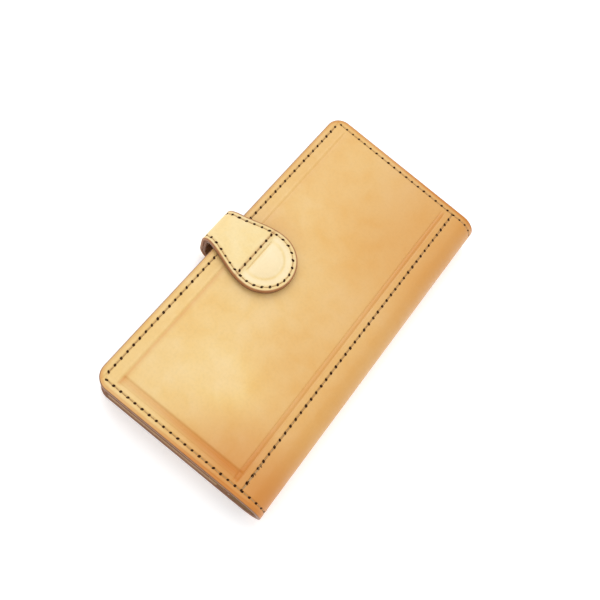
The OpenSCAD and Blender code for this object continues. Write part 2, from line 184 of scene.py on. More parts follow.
def mesh_object(name, points, faces, material, attributes=None):
    """A smooth-shaded mesh object from points in millimetres, with its faces turned outwards."""
    mesh = bpy.data.meshes.new(name)
    mesh.from_pydata((np.asarray(points) * MM).tolist(), [], faces)
    mesh.validate()
    shell = bmesh.new()
    shell.from_mesh(mesh)
    bmesh.ops.recalc_face_normals(shell, faces=shell.faces)
    shell.to_mesh(mesh)
    shell.free()
    mesh.polygons.foreach_set("use_smooth", [True] * len(mesh.polygons))
    for key, values in (attributes or {}).items():
        layer = mesh.attributes.new(key, "FLOAT", "POINT")
        layer.data.foreach_set("value", np.asarray(values, np.float32))
    mesh.materials.append(material)
    obj = show(bpy.data.objects.new(name, mesh))
    return obj


def grid_faces(rows, columns, offset=0, flip=False):
    """Quads of a grid of points stored row by row."""
    i, j = np.meshgrid(np.arange(rows - 1), np.arange(columns - 1), indexing="ij")
    a = (offset + i * columns + j).ravel()
    quads = np.stack([a, a + 1, a + columns + 1, a + columns], 1)
    return (quads[:, ::-1] if flip else quads).tolist()


def border(rows, columns):
    """Indices of a grid's border, once round."""
    first = list(range(columns))
    right = [i * columns + columns - 1 for i in range(1, rows)]
    last = [(rows - 1) * columns + j for j in range(columns - 2, -1, -1)]
    left = [i * columns for i in range(rows - 2, 0, -1)]
    return first + right + last + left


def sheet(name, place, s, y, thickness, material, edge_distance,
          relief=0, tint=0, edge_r=0.55, band=0.5, flip=False):
    """A closed sheet of leather. s and y are grids of millimetres along its outside face; place maps
    (s, y, depth) to points; relief is the depth of its marks; edge_distance is each point's distance to
    a cut edge, which is rounded with edge_r and burnished over about band. flip reverses each quad's
    points, and with them the diagonal that it is split along."""
    rows, columns = s.shape
    rounding = cut_back(edge_r, edge_distance)
    points = np.concatenate([
        place(s, y, rounding + relief).reshape(-1, 3),
        place(s, y, thickness - rounding).reshape(-1, 3)])
    count = rows * columns
    faces = grid_faces(rows, columns, 0, flip) + grid_faces(rows, columns, count, not flip)
    rim = border(rows, columns)
    for a, b in zip(rim, rim[1:] + rim[:1]):
        quad = [b, a, count + a, count + b]
        faces.append(quad[::-1] if flip else quad)
    edge = 1 - smooth((edge_distance - 0.4 * band) / (0.6 * band))
    shade = np.broadcast_to(tint, s.shape)
    return mesh_object(name, points, faces, material, {
        "edge": np.tile(edge.ravel(), 2),
        "tint": np.concatenate([shade.ravel(), np.zeros(count)]),
        "inside": np.repeat([0.0, 1.0], count)})


# ---- materials

def darker(colour, part):
    """The colour at that part of its brightness."""
    return tuple(c * part for c in colour)


class Nodes:
    """Short calls for building a material's node tree."""

    def __init__(self, name):
        self.material = bpy.data.materials.new(name)
        self.material.use_nodes = True
        self.tree = self.material.node_tree
        self.tree.nodes.clear()
        self.shader = self.add("BsdfPrincipled")
        self.add("OutputMaterial", Surface=self.shader.outputs[0])
        self.where = self.add("TexCoord").outputs["Object"]

    def link(self, a, b):
        self.tree.links.new(a, b)

    def put(self, socket, value):
        """Sets a socket to a number, a colour or a vector, or links it to a source."""
        if isinstance(value, (int, float)):
            socket.default_value = value
        elif isinstance(value, tuple):
            socket.default_value = (*value, 1)[:len(socket.default_value)]
        else:
            self.link(value, socket)

    def set(self, **values):
        """Sets or links the shader's inputs."""
        for key, value in values.items():
            self.put(self.shader.inputs[key.replace("_", " ")], value)

    def add(self, kind, **values):
        """A new node, with its inputs set or linked."""
        node = self.tree.nodes.new("ShaderNode" + kind)
        for key, value in values.items():
            self.put(node.inputs[key.replace("_", " ")], value)
        return node

    def noise(self, size_mm, detail=3.0, rough=0.5, stretch=(1, 1, 1), distortion=0.0):
        """Noise from 0 to 1 whose blobs are about size_mm across."""
        mapping = self.add("Mapping", Scale=stretch, Vector=self.where)
        node = self.add("TexNoise", Scale=1000.0 / size_mm, Detail=detail, Roughness=rough,
                        Distortion=distortion, Vector=mapping.outputs[0])
        return node.outputs["Fac"]

    def cells(self, size_mm):
        """Distance from the middle of cells about size_mm across."""
        return self.add("TexVoronoi", Scale=1000.0 / size_mm, Vector=self.where).outputs["Distance"]

    def attribute(self, name):
        """The value of a vertex attribute."""
        node = self.add("Attribute")
        node.attribute_name = name
        return node.outputs["Fac"]

    def ramp(self, factor, *stops):
        """Colour ramp through (position, colour) stops."""
        node = self.add("ValToRGB", Fac=factor)
        elements = node.color_ramp.elements
        while len(elements) < len(stops):
            elements.new(0.5)
        for element, (position, colour) in zip(elements, stops):
            element.position = position
            element.color = (*colour, 1)
        return node.outputs["Color"]

    def level(self, factor, low, high, a=0.0, b=1.0):
        """Maps factor from low..high to a..b, clamped."""
        node = self.add("MapRange", Value=factor, From_Min=low, From_Max=high, To_Min=a, To_Max=b)
        return node.outputs["Result"]

    def math(self, operation, a, b):
        """The result of an operation on two values."""
        node = self.add("Math")
        node.operation = operation
        self.put(node.inputs[0], a)
        self.put(node.inputs[1], b)
        return node.outputs[0]

    def mix(self, factor, a, b, kind="MIX"):
        """Blends colour b over colour a by factor."""
        node = self.add("Mix")
        node.data_type = "RGBA"
        node.blend_type = kind
        for index, value in ((0, factor), (6, a), (7, b)):
            self.put(node.inputs[index], value)
        return node.outputs[2]

    def bump(self, *layers):
        """Bump from (height, strength, distance in mm) layers."""
        normal = None
        for height, strength, distance in layers:
            node = self.add("Bump", Strength=strength, Distance=distance * MM, Height=height)
            if normal is not None:
                self.link(normal, node.inputs["Normal"])
            normal = node.outputs["Normal"]
        self.set(Normal=normal)


def leather(name, light, middle, dark, burnt_and_shade, edge, flesh, rough=0.5, grain=1.0):
    """Vegetable-tanned leather: mottled face, pores, burnished edges. Tint runs from -1, where the face is
    paler (on the cover, a painted highlight), to 1, where it is darker: its own darkening, and painted
    shade and shadow."""
    n = Nodes(name)
    clouds = n.noise(38, 2.0, 0.5)
    mottle = n.noise(9, 4.0, 0.55, distortion=0.4)
    fibre = n.noise(1.4, 5.0, 0.6)
    blend = n.math("ADD", n.math("MULTIPLY", clouds, 0.62), n.math("MULTIPLY", mottle, 0.38))
    face = n.ramp(blend, (0.30, light), (0.5, middle), (0.72, dark))
    speck = n.level(fibre, 0.35, 0.7, 0.96, 1.03)
    speck_colour = n.ramp(speck, (0.0, (0.0, 0.0, 0.0)), (1.0, (1.0, 1.0, 1.0)))
    face = n.mix(1.0, face, speck_colour, "MULTIPLY")
    tint = n.attribute("tint")
    # positive tint darkens the face, for its own darker parts and for painted shade and shadow
    face = n.mix(tint, face, burnt_and_shade)
    # negative tint makes the face paler, which on the cover is a painted highlight
    pale = tuple(0.35 + 0.65 * c for c in light)
    face = n.mix(n.math("MULTIPLY", tint, -1.0), face, pale)
    back = n.ramp(fibre, (0.3, darker(flesh, 0.86)), (0.7, flesh))
    colour = n.mix(n.attribute("inside"), face, back)
    rim = n.ramp(n.noise(2.2, 4.0, 0.6), (0.3, darker(edge, 0.7)), (0.7, edge))
    colour = n.mix(n.attribute("edge"), colour, rim)
    n.set(Base_Color=colour, Roughness=n.level(mottle, 0.3, 0.7, rough - 0.08, rough + 0.06))
    n.set(Coat_Weight=0.08, Coat_Roughness=0.35, Sheen_Weight=0.05)
    n.bump((clouds, 0.25, 0.5), (n.cells(0.55), 0.10 * grain, 0.06), (fibre, 0.16 * grain, 0.08))
    return n.material


def thread_material(name, colour, gloss=0.4):
    """Waxed twisted thread."""
    n = Nodes(name)
    n.set(Specular_IOR_Level=gloss)
    strands = n.noise(0.5, 2.0, 0.5, stretch=(1, 1, 3))
    twist = n.ramp(strands, (0.3, darker(colour, 0.6)), (0.7, colour))
    n.set(Base_Color=twist, Roughness=n.level(strands, 0.3, 0.7, 0.5, 0.7))
    n.bump((strands, 0.4, 0.1))
    return n.material


def metal_material(name, colour, rough):
    """Lightly worn plated metal."""
    n = Nodes(name)
    wear = n.noise(1.5, 4.0, 0.6)
    plating = n.ramp(wear, (0.35, darker(colour, 0.72)), (0.65, colour))
    n.set(Base_Color=plating, Roughness=n.level(wear, 0.3, 0.7, rough - 0.08, rough + 0.1))
    n.set(Metallic=1.0)
    n.bump((wear, 0.12, 0.05))
    return n.material


def tape_material(name, colour):
    """Woven zip tape."""
    n = Nodes(name)
    wave = n.add("TexWave", Scale=600.0, Distortion=1.5, Vector=n.where)
    wave.wave_type = "BANDS"
    wave.bands_direction = "DIAGONAL"
    weave = wave.outputs["Fac"]
    threads = n.ramp(weave, (0.2, darker(colour, 0.5)), (0.8, colour))
    n.set(Base_Color=threads, Roughness=n.level(weave, 0, 1, 0.75, 0.95))
    n.bump((weave, 0.5, 0.15))
    return n.material


COVER = leather("cover_leather", light=(0.79, 0.57, 0.25), middle=(0.775, 0.525, 0.19),
                dark=(0.75, 0.455, 0.125), burnt_and_shade=(0.56, 0.195, 0.016), edge=(0.30, 0.12, 0.045),
                flesh=(0.55, 0.37, 0.20), rough=0.44)
STRAP = leather("strap_leather", light=(0.83, 0.67, 0.36), middle=(0.81, 0.61, 0.27),
                dark=(0.77, 0.53, 0.19), burnt_and_shade=(0.52, 0.24, 0.06), edge=(0.40, 0.15, 0.038),
                flesh=(0.60, 0.44, 0.27), rough=0.52)
LINING = leather("lining_leather", light=(0.56, 0.34, 0.15), middle=(0.51, 0.29, 0.12),
                 dark=(0.46, 0.25, 0.095), burnt_and_shade=(0.30, 0.13, 0.04), edge=(0.26, 0.10, 0.035),
                 flesh=(0.45, 0.27, 0.13), rough=0.62, grain=1.4)
POCKET = leather("pocket_leather", light=(0.72, 0.46, 0.20), middle=(0.68, 0.41, 0.16),
                 dark=(0.63, 0.35, 0.12), burnt_and_shade=(0.36, 0.16, 0.05), edge=(0.28, 0.11, 0.04),
                 flesh=(0.50, 0.31, 0.15), rough=0.55)
THREAD = thread_material("thread", (0.58, 0.36, 0.16))
# near black: the shade inside the stitch holes, painted
HOLE_SHADE = thread_material("stitch_hole", (0.05, 0.018, 0.006), gloss=0.05)
TAPE = tape_material("zip_tape", (0.12, 0.07, 0.04))
BRASS = metal_material("zip_metal", (0.72, 0.50, 0.20), 0.32)
STEEL = metal_material("closure_steel", (0.6, 0.6, 0.62), 0.35)


# ---- stitching

def along(path, pitch):
    """Holes about pitch apart on a path of (s, y) points, both ends included."""
    path = np.asarray(path, float)
    run = np.r_[0, np.cumsum(np.linalg.norm(np.diff(path, axis=0), axis=1))]
    count = max(int(round(run[-1] / pitch)), 1)
    at = np.linspace(0, run[-1], count + 1)
    return np.stack([np.interp(at, run, path[:, k]) for k in (0, 1)], 1)


def thread_stitch(place, a, b, lean, depth):
    """Points and faces of one stitch from hole a to hole b, whose ends go down the holes."""
    run = b - a
    across = np.array([-run[1], run[0]]) / np.linalg.norm(run)
    t = np.linspace(0.0, 1.0, THREAD_RINGS)
    from_middle = np.abs(2 * t - 1)
    middle = a + run * t[:, None] + across * (lean * (1 - 2 * t))[:, None]
    dive = 0.55 * np.clip(from_middle - 0.55, 0, 1) / 0.45
    sunk = depth - 0.12 + dive
    centre = place(middle[:, 0], middle[:, 1], sunk)
    up = place(middle[:, 0], middle[:, 1], sunk - 1.0) - centre
    up /= np.linalg.norm(up, axis=1)[:, None]
    side = np.cross(np.gradient(centre, axis=0), up)
    side /= np.linalg.norm(side, axis=1)[:, None]
    radius = THREAD_R * np.where(from_middle > 0.95, 0.7, 1.0)
    turn = np.arange(THREAD_SIDES) * 2 * np.pi / THREAD_SIDES
    rings = centre[:, None] + radius[:, None, None] * (
        np.cos(turn)[None, :, None] * side[:, None] + np.sin(turn)[None, :, None] * up[:, None])
    faces = []
    for ring in range(THREAD_RINGS - 1):
        here, beyond = ring * THREAD_SIDES, (ring + 1) * THREAD_SIDES
        for k in range(THREAD_SIDES):
            k2 = (k + 1) % THREAD_SIDES
            faces.append([here + k, here + k2, beyond + k2, beyond + k])
    faces.append(list(range(THREAD_SIDES))[::-1])
    faces.append([(THREAD_RINGS - 1) * THREAD_SIDES + k for k in range(THREAD_SIDES)])
    return rings.reshape(-1, 3), faces


def stitch_hole(place, hole, run, vary, depth, width, size):
    """Points and faces of one slanted hole in a row along run. The three numbers of vary, from -1 to 1,
    change its slant, its length and its width."""
    run = run / np.linalg.norm(run)
    across = np.array([-run[1], run[0]])
    slant = math.radians(30 + 9 * vary[0])
    major = run * math.cos(slant) + across * math.sin(slant)
    minor = across * math.cos(slant) - run * math.sin(slant)
    turn = np.arange(HOLE_SIDES) * 2 * np.pi / HOLE_SIDES
    pinch = np.sign(np.sin(turn)) * np.abs(np.sin(turn)) ** 1.5
    long = size * HOLE_L * (1 + 0.13 * vary[1])
    wide = size * HOLE_W * (1 + 0.13 * vary[2])
    rim = hole + long * np.cos(turn)[:, None] * major + wide * pinch[:, None] * minor
    inner = hole + 0.7 * (rim - hole)
    low = place(rim[:, 0], rim[:, 1], groove((rim - hole) @ across, width, depth) + 0.03)
    mid = place(inner[:, 0], inner[:, 1], groove((inner - hole) @ across, width, depth) - 0.06)
    top = place(hole[:1], hole[1:], np.array([depth - 0.07]))
    bottom = place(hole[:1], hole[1:], np.array([depth + 0.3]))
    top_at, bottom_at = 2 * HOLE_SIDES, 2 * HOLE_SIDES + 1
    faces = []
    for k in range(HOLE_SIDES):
        k2 = (k + 1) % HOLE_SIDES
        faces.append([k, k2, HOLE_SIDES + k2, HOLE_SIDES + k])
        faces.append([HOLE_SIDES + k, HOLE_SIDES + k2, top_at])
        faces.append([k2, k, bottom_at])
    return np.concatenate([low, mid, top, bottom]), faces


def join(shapes):
    """One shape, as points and faces, from several."""
    points, faces, count = [], [], 0
    for shape_points, shape_faces in shapes:
        points.append(shape_points)
        faces += [[count + i for i in face] for face in shape_faces]
        count += len(shape_points)
    return np.concatenate(points), faces


def stitch_row(place, path, pitch=PITCH, lean=0.16, depth=GROOVE_D, width=GROOVE_W, size=1.0):
    """A row in a groove of that depth and half width: the shape of its threads, and that of the slanted
    holes between them. A depth of 0 is a row on a plain face."""
    holes = along(path, pitch)
    threads = [thread_stitch(place, a, b, lean, depth) for a, b in zip(holes, holes[1:])]
    directions = np.gradient(holes, axis=0)
    jitter = np.random.default_rng(len(holes)).uniform(-1, 1, (len(holes), 3))
    pits = [stitch_hole(place, hole, run, vary, depth, width, size)
            for hole, run, vary in zip(holes, directions, jitter)]
    return join(threads), join(pits)


def stitching(name, rows):
    """Two objects for a set of rows: the threads, and the holes that they go down."""
    made = []
    # the holes' near-black colour is painted shade
    for which, (part, material) in enumerate((("thread", THREAD), ("holes", HOLE_SHADE))):
        points, faces = join([row[which] for row in rows])
        made.append(mesh_object(f"{name}_{part}", points, faces, material))
    return made


# ---- cover

def fold_place(side):
    """Places (s, y, depth) on the folded sheet: s runs from the fore-edge to the middle of the spine,
    and depth below the outside face. side is 1 for the front and -1 for the back."""
    def place(s, y, depth):
        turn = np.clip((s - FLAT_L) / SPINE_R, 0, None)
        r = SPINE_R - depth
        x = FORE_X + np.minimum(s, FLAT_L) + r * np.sin(turn)
        z = SPINE_R + side * r * np.cos(turn)
        return xyz(x, y, z)
    return place


def panel_distance(s, y, corner_r, half):
    """Distance from (s, y) to the fore-edge or an end, with round corners."""
    ends = half - np.abs(y)
    in_corner = (s < corner_r) & (ends < corner_r)
    rounded = corner_r - np.hypot(corner_r - s, corner_r - ends)
    return np.clip(np.where(in_corner, rounded, np.minimum(s, ends)), 0, None)


def panel_grid(lines, ends, corner_r, half):
    """Grids of s and y whose first row follows the fore-edge and its round corners."""
    y = mirrored(ends, half)
    start = cut_back(corner_r, half - np.abs(y))
    reach = 1.8 * corner_r
    keep = np.clip(1 - lines / reach, 0, 1)
    s = lines[:, None] + start[None, :] * keep[:, None]
    return s, np.broadcast_to(y[None, :], s.shape)


def cover_relief(s, y):
    """Stitching grooves and the line beside the edge of a cover panel, as depth."""
    inset = panel_distance(s, y, CORNER_R, HALF_L)
    ends = HALF_L - np.abs(y)
    row = panel_distance(s - STITCH_INSET, y, ROW_R, HALF_L - STITCH_INSET)
    outside = np.minimum(s, ends) - STITCH_INSET
    distance = np.where(row > 0, row, outside)
    depth = groove(distance, GROOVE_W, GROOVE_D)
    inside_rows = (ends > STITCH_INSET).astype(float)
    depth = np.maximum(depth, groove(s - SPINE_ROW, GROOVE_W, GROOVE_D) * inside_rows)
    return depth + crease(inset, EDGE_CREASE)


def tail_box():
    """The tail's stitch box on the back: x from the fore-edge, low and high, and half its width."""
    low, high = box_mm("strap_tail_thread")
    half_thread = 0.35
    return low[0] - FORE_X + half_thread, high[0] - FORE_X - half_thread, high[1] - half_thread


def tail_box_groove(s, y):
    """Depth of the groove under the tail's stitch box."""
    x1, x2, half = tail_box()
    outside = np.hypot(np.maximum(np.maximum(x1 - s, s - x2), 0), np.maximum(np.abs(y) - half, 0))
    inside = np.minimum(np.minimum(s - x1, x2 - s), half - np.abs(y))
    return groove(np.where(inside > 0, inside, outside), GROOVE_W, GROOVE_D)


def press_marks(s, y, side):
    """Lines that the inside leaves have pressed into the face: (depth, shade)."""
    near = y + HALF_L if side > 0 else HALF_L - y
    far = 2 * HALF_L - near
    across = smooth((s - 9) / 2) * smooth((79.5 - s) / 1.5)
    down = smooth((near - 4.5) / 2) * smooth((far - 5) / 4)
    ridge = FORE_RIDGE[2] - crease(s, FORE_RIDGE)
    depth = (sum(crease(s, line) for line in SPINE_LINES) + ridge + crease(s, FORE_LINE)) * down
    depth += sum(crease(near, line) for line in END_LINES) * across
    fade = 0.55 + 0.45 * np.exp(-((s - 38) / 26) ** 2)
    band = np.exp(-((near - 8.4) / 1.9) ** 2) + 0.45 * np.exp(-((near - 9.9) / 0.6) ** 2)
    shade = 0.42 * band * fade * across + crease(s, (78.0, 2.2, 0.26)) * down
    if side > 0:
        shade += (0.08 + 0.30 * smooth((90 - near) / 20)) * crease(s, (10.6, 1.3, 1.0)) * down
    return depth, shade


def cover_tint(s, y, side):
    """Where the face is darker: towards the spine and both ends, beside the strap, where a shadow is
    painted, and at the edges.
    A painted highlight makes one patch paler."""
    along_spine = (y + HALF_L) / (2 * HALF_L)
    spine_side = 0.30 * smooth((s - 20) / 60) + 0.15 * smooth((s - 82) / 10)
    far_end = 0.20 * smooth((along_spine - 0.48) / 0.36)
    near_corner = 0.42 * smooth((0.26 - along_spine) / 0.24) * smooth((s - 25) / 50)
    # painted shadow of the strap on the front cover
    strap_shadow = 0.22 * np.exp(-(((s - 16) / 16) ** 2 + ((y - 20) / 9) ** 2)) if side > 0 else 0
    distance = panel_distance(s, y, CORNER_R, HALF_L)
    fore = smooth((HALF_L - np.abs(y) - 4) / 6) * smooth((12 - s) / 6)
    rim = (0.50 - 0.25 * fore) * (1 - smooth((distance - 0.8) / 1.6))
    # painted highlight: one patch of the face made paler
    painted_highlight = 0.34 * np.exp(-(((s - 50) / 17) ** 2 + ((along_spine - 0.19) / 0.08) ** 2))
    return 0.05 + spine_side + far_end + near_corner + strap_shadow + rim - painted_highlight


def cover_half(side):
    """One half of the cover leather, from its fore-edge to the middle of the spine."""
    place = fold_place(side)
    box_x1, box_x2, box_half = tail_box()
    lines = graded(HALF_SHEET, [(0, 0.6, 0.12), (0.6, 5.4, 0.25), (box_x1 - 0.9, 11, 0.3),
                                (box_x2 - 0.9, box_x2 + 0.9, 0.25), (75.8, 80, 0.2),
                                (81.6, 83.8, 0.18), (FLAT_L, HALF_SHEET, 0.5)], 1.6)
    ends = graded(HALF_L, [(0, 0.02, 0.02), (0.02, 0.1, 0.04), (0.1, 0.6, 0.12), (0.6, 11, 0.25),
                           (HALF_L - box_half - 0.9, HALF_L - box_half + 0.9, 0.25)], 1.6)[:-1]
    s, y = panel_grid(lines, ends, CORNER_R, HALF_L)
    pressed, shade = press_marks(s, y, side)
    wave = 0.10 * np.sin(s / 17 + 1.3) * np.sin(y / 23 + 0.4) + 0.05 * np.sin(s / 7 + y / 11)
    fade = smooth(panel_distance(s, y, CORNER_R, HALF_L) / 12) * smooth((FLAT_L - s) / 10)
    lift = (0.12 + wave) * fade if side > 0 else 0 * s
    relief = cover_relief(s, y) + pressed + lift
    if side < 0:
        relief = np.maximum(relief, tail_box_groove(s, y))
    name = "cover_front" if side > 0 else "cover_back"
    distance = panel_distance(s, y, CORNER_R, HALF_L)
    cover = sheet(name, place, s, y, COVER_T, COVER, distance,
                  relief=relief, tint=np.clip(cover_tint(s, y, side) + shade, -0.5, 1), band=0.62,
                  flip=side > 0)
    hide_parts(*(("front_cover", "spine_cover") if side > 0 else ("back_cover",)))
    return cover


def cover_rows(side):
    """Stitch rows of one half of the cover: round the edge, beside the spine, and the few stitches that
    lock the spine row's end."""
    place = fold_place(side)
    inner = HALF_L - STITCH_INSET
    corner = [(STITCH_INSET + ROW_R * (1 - math.sin(t)), inner - ROW_R * (1 - math.cos(t)))
              for t in np.linspace(0, math.pi / 2, 5)]
    far_end = [(HALF_SHEET, inner)] + corner
    edge = far_end + [(s, -y) for s, y in reversed(far_end)]
    spine = [(SPINE_ROW, inner), (SPINE_ROW, -inner)]
    rows = [stitch_row(place, edge, size=0.86), stitch_row(place, spine, size=0.9)]
    locked = [(SPINE_ROW + 0.35, -inner + 0.3), (SPINE_ROW + 0.35, -inner + 3.4 * PITCH)]
    rows.append(stitch_row(place, locked, lean=0.05, size=0.8))
    return rows


# ---- plates

def rect_distance(x, y, box, radii):
    """Distance inside a rectangle (x1, x2, y1, y2) to its edge. radii are those of its corners at
    (x1, y1), (x1, y2), (x2, y1) and (x2, y2)."""
    x1, x2, y1, y2 = box
    sides = (x - x1, x2 - x)
    ends = (y - y1, y2 - y)
    distance = np.minimum(np.minimum(*sides), np.minimum(*ends))
    for index, radius in enumerate(radii):
        across, up = sides[index // 2], ends[index % 2]
        if radius > 0:
            corner = (across < radius) & (up < radius)
            distance = np.where(corner, radius - np.hypot(radius - across, radius - up), distance)
    return np.clip(distance, 0, None)


def rect_grid(box, radii, zones_x=(), step=3.0, edge=((0, 0.5, 0.12), (0.5, 1.5, 0.4))):
    """Grids of x and y that fill a rectangle with round corners."""
    x1, x2, y1, y2 = box
    width = x2 - x1
    far_edge = [(width - end, width - start, fine) for start, end, fine in edge]
    inside = [(start - x1, end - x1, fine) for start, end, fine in zones_x]
    largest = max(max(radii), 0.01)
    turns = [(1.5, largest, 0.6), (width - largest, width - 1.5, 0.6)] if largest > 1.5 else []
    x = x1 + graded(width, list(edge) + turns + inside + far_edge[::-1], step)
    half = (y2 - y1) / 2
    ends = graded(half, list(edge), step)
    v = mirrored(ends[:-1], half) / half
    low = y1 + cut_back(radii[0], x - x1) + cut_back(radii[2], x2 - x)
    high = y2 - cut_back(radii[1], x - x1) - cut_back(radii[3], x2 - x)
    y = low[:, None] + (high - low)[:, None] * (v + 1)[None, :] / 2
    return np.broadcast_to(x[:, None], y.shape), y


def flat_place(z, facing):
    """Places (x from the fore-edge, y, depth) on a flat face at height z that looks up or down."""
    def place(x, y, depth):
        return xyz(FORE_X + x, y, z - facing * depth)
    return place


def plate(name, node, material, slot, body, facing=1, radii=(0, 0, 0, 0), lines=(), x_lines=(), edge_r=0.3):
    """A flat piece of leather in the box of a CAD node. lines are creases (inset, half width, depth)
    that follow its edge, and x_lines are creases (x, half width, depth) straight across it."""
    low, high = box_mm(node)
    box = (low[0] - FORE_X, high[0] - FORE_X, low[1], high[1])
    zones = [(x - wide - 0.1, x + wide + 0.1, wide / 3) for x, wide, _ in x_lines]
    edge = [(0, 0.5, 0.12), (0.5, 1.5, 0.35)]
    edge += [(inset - wide, inset + wide, wide / 2.5) for inset, wide, _ in lines]
    x, y = rect_grid(box, radii, zones, edge=tuple(edge))
    distance = rect_distance(x, y, box, radii)
    relief = 0 * x
    for inset, wide, deep in lines:
        relief = np.maximum(relief, groove(distance - inset, wide, deep))
    for at, wide, deep in x_lines:
        relief = np.maximum(relief, groove(x - at, wide, deep) * smooth((distance - 0.3) / 0.6))
    rim = 0.35 * (1 - smooth((distance - 0.5) / 1.2))
    place = flat_place(high[2] if facing > 0 else low[2], facing)
    piece = sheet(name, place, x, y, high[2] - low[2], material, distance,
                  relief=relief, tint=rim, edge_r=edge_r, flip=facing < 0)
    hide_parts(node)
    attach(piece, body)
    return piece


# ---- strap

def strap_place(end):
    """Places (q, y, depth) on the strap: q runs along its outside face from the middle of the riser
    to the head (end 1) or to the tail (end -1)."""
    def place(q, y, depth):
        turn = np.clip((q - STRAP_RISE) / STRAP_BEND, 0, math.pi / 2)
        r = STRAP_BEND - depth
        flat = np.clip(q - STRAP_RISE - STRAP_ARC, 0, None)
        x = STRAP_RISER_X + STRAP_BEND - r * np.cos(turn) + flat
        z = STRAP_MID_Z + end * (np.minimum(q, STRAP_RISE) + r * np.sin(turn))
        return xyz(x, y, z)
    return place


def strap_half(q):
    """Half the strap's width at q."""
    t = np.clip((q - (HEAD_Q - FLARE_L)) / FLARE_L, 0, 1)
    return RISER_HALF + (HEAD_R - RISER_HALF) * (0.5 - 0.5 * np.cos(np.pi * t))


def strap_distance(q, y):
    """Distance to the strap's side edges and round end."""
    side = strap_half(q) - np.abs(y)
    tip = HEAD_R - np.hypot(q - HEAD_Q, y)
    return np.clip(np.where(q > HEAD_Q, tip, side), 0, None)


def head_grid():
    """Grids of q and y over the head half: straight rows up to the head's centre, then a half disc."""
    shaft = graded(HEAD_Q, [(0, STRAP_RISE + STRAP_ARC + 1, 0.45), (SEAM_Q - 1, SEAM_Q + 1, 0.2),
                            (SEAM_Q + 1.6, SEAM_Q + 3.4, 0.2)], 0.7)
    ends = graded(1.0, [(0, 0.04, 0.008), (0.04, 0.22, 0.016)], 0.05)[:-1]
    v = mirrored(ends, 1)
    u = np.concatenate([np.linspace(0, 0.78, 22)[1:], np.linspace(0.78, 0.96, 13)[1:],
                        [0.972, 0.982, 0.991, 1.0]])
    q_shaft = np.broadcast_to(shaft[:, None], (len(shaft), len(v)))
    y_shaft = strap_half(q_shaft) * v[None, :]
    q_disc = HEAD_Q + HEAD_R * u[:, None] * np.sqrt(1 - v[None, :] ** 2 / 2)
    y_disc = HEAD_R * v[None, :] * np.sqrt(1 - u[:, None] ** 2 / 2)
    return np.concatenate([q_shaft, q_disc]), np.concatenate([y_shaft, y_disc])


def magnet_mark(q, y):
    """The magnet's pocket shows through the head as a D-shaped crease round a low rise."""
    across = np.hypot(q - HEAD_Q - 0.2, y)
    inside = np.minimum(MARK_R - across, q - MARK_START)
    rise = 0.14 * smooth(inside / 3.0)
    lines = groove(inside, 0.55, 0.46) + groove(inside - 1.6, 0.45, 0.26)
    disc = 0.12 * smooth((7.6 - across) / 0.8)
    return lines - rise - disc + 0.26


def strap_relief(q, y):
    """Grooves, seam and creases on the outside of the strap's head half, as depth."""
    distance = strap_distance(q, y)
    depth = groove(distance - STRAP_INSET, GROOVE_W, STRAP_GROOVE_D)
    inside = smooth((distance - STRAP_INSET) / 0.5)
    depth = np.maximum(depth, groove(q - SEAM_Q, GROOVE_W, STRAP_GROOVE_D) * inside)
    swell = 0.10 * smooth((distance - 2.6) / 4.0) * smooth((SEAM_Q - q) / 3.0)
    wrinkle = 0.05 * np.sin(q * 2.6) * np.exp(-((q - STRAP_RISE - STRAP_ARC / 2) / 4.5) ** 2)
    pad = smooth((distance - 2.9) / 1.2) * smooth((q - SEAM_Q - 0.8) / 1.0)
    depth = depth + magnet_mark(q, y) * pad * 0.9 - swell + wrinkle
    return np.maximum(depth, 0) + crease(distance, STRAP_CREASE)


def strap_tint(q, y):
    """Where the strap is darker: the bend, the seam, the rim and round the magnet's pocket. The head past
    the seam, round the pocket's middle, is paler."""
    distance = strap_distance(q, y)
    rim = 0.45 * (1 - smooth((distance - 0.35) / 1.0))
    seam = 0.45 * np.exp(-((q - SEAM_Q) / 0.9) ** 2)
    bend = 0.06 * smooth((STRAP_RISE + STRAP_ARC + 1 - q) / 8.0)
    row = 0.18 * np.exp(-((distance - STRAP_INSET) / 0.8) ** 2)
    mark_r = MARK_R + 0.2
    round_mark = np.exp(-((np.hypot(q - HEAD_Q, y) - mark_r) / 0.7) ** 2) * smooth((q - SEAM_Q - 2) / 1.0)
    straight_mark = np.exp(-((q - MARK_START) / 0.5) ** 2) * smooth((mark_r - np.abs(y)) / 1.0)
    pocket = 0.42 * np.maximum(round_mark, straight_mark)
    # the head's middle past the seam is made paler
    paler_head = 0.42 * smooth((q - SEAM_Q - 1) / 3) * smooth((distance - 1.5) / 3)
    return np.clip(rim + seam + bend + row + pocket - paler_head, -0.9, 0.9)


def bend_strap(obj):
    """Bakes a strap piece's transform into its mesh."""
    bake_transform(obj)


def layer_place(place, depth):
    """The same place, for a layer whose outside face is that much deeper."""
    return lambda s, y, d: place(s, y, np.asarray(d) + depth)


def under_place(place, thickness):
    """The same place, seen from the underside of leather of that thickness."""
    return lambda s, y, d: place(s, y, thickness - np.asarray(d))


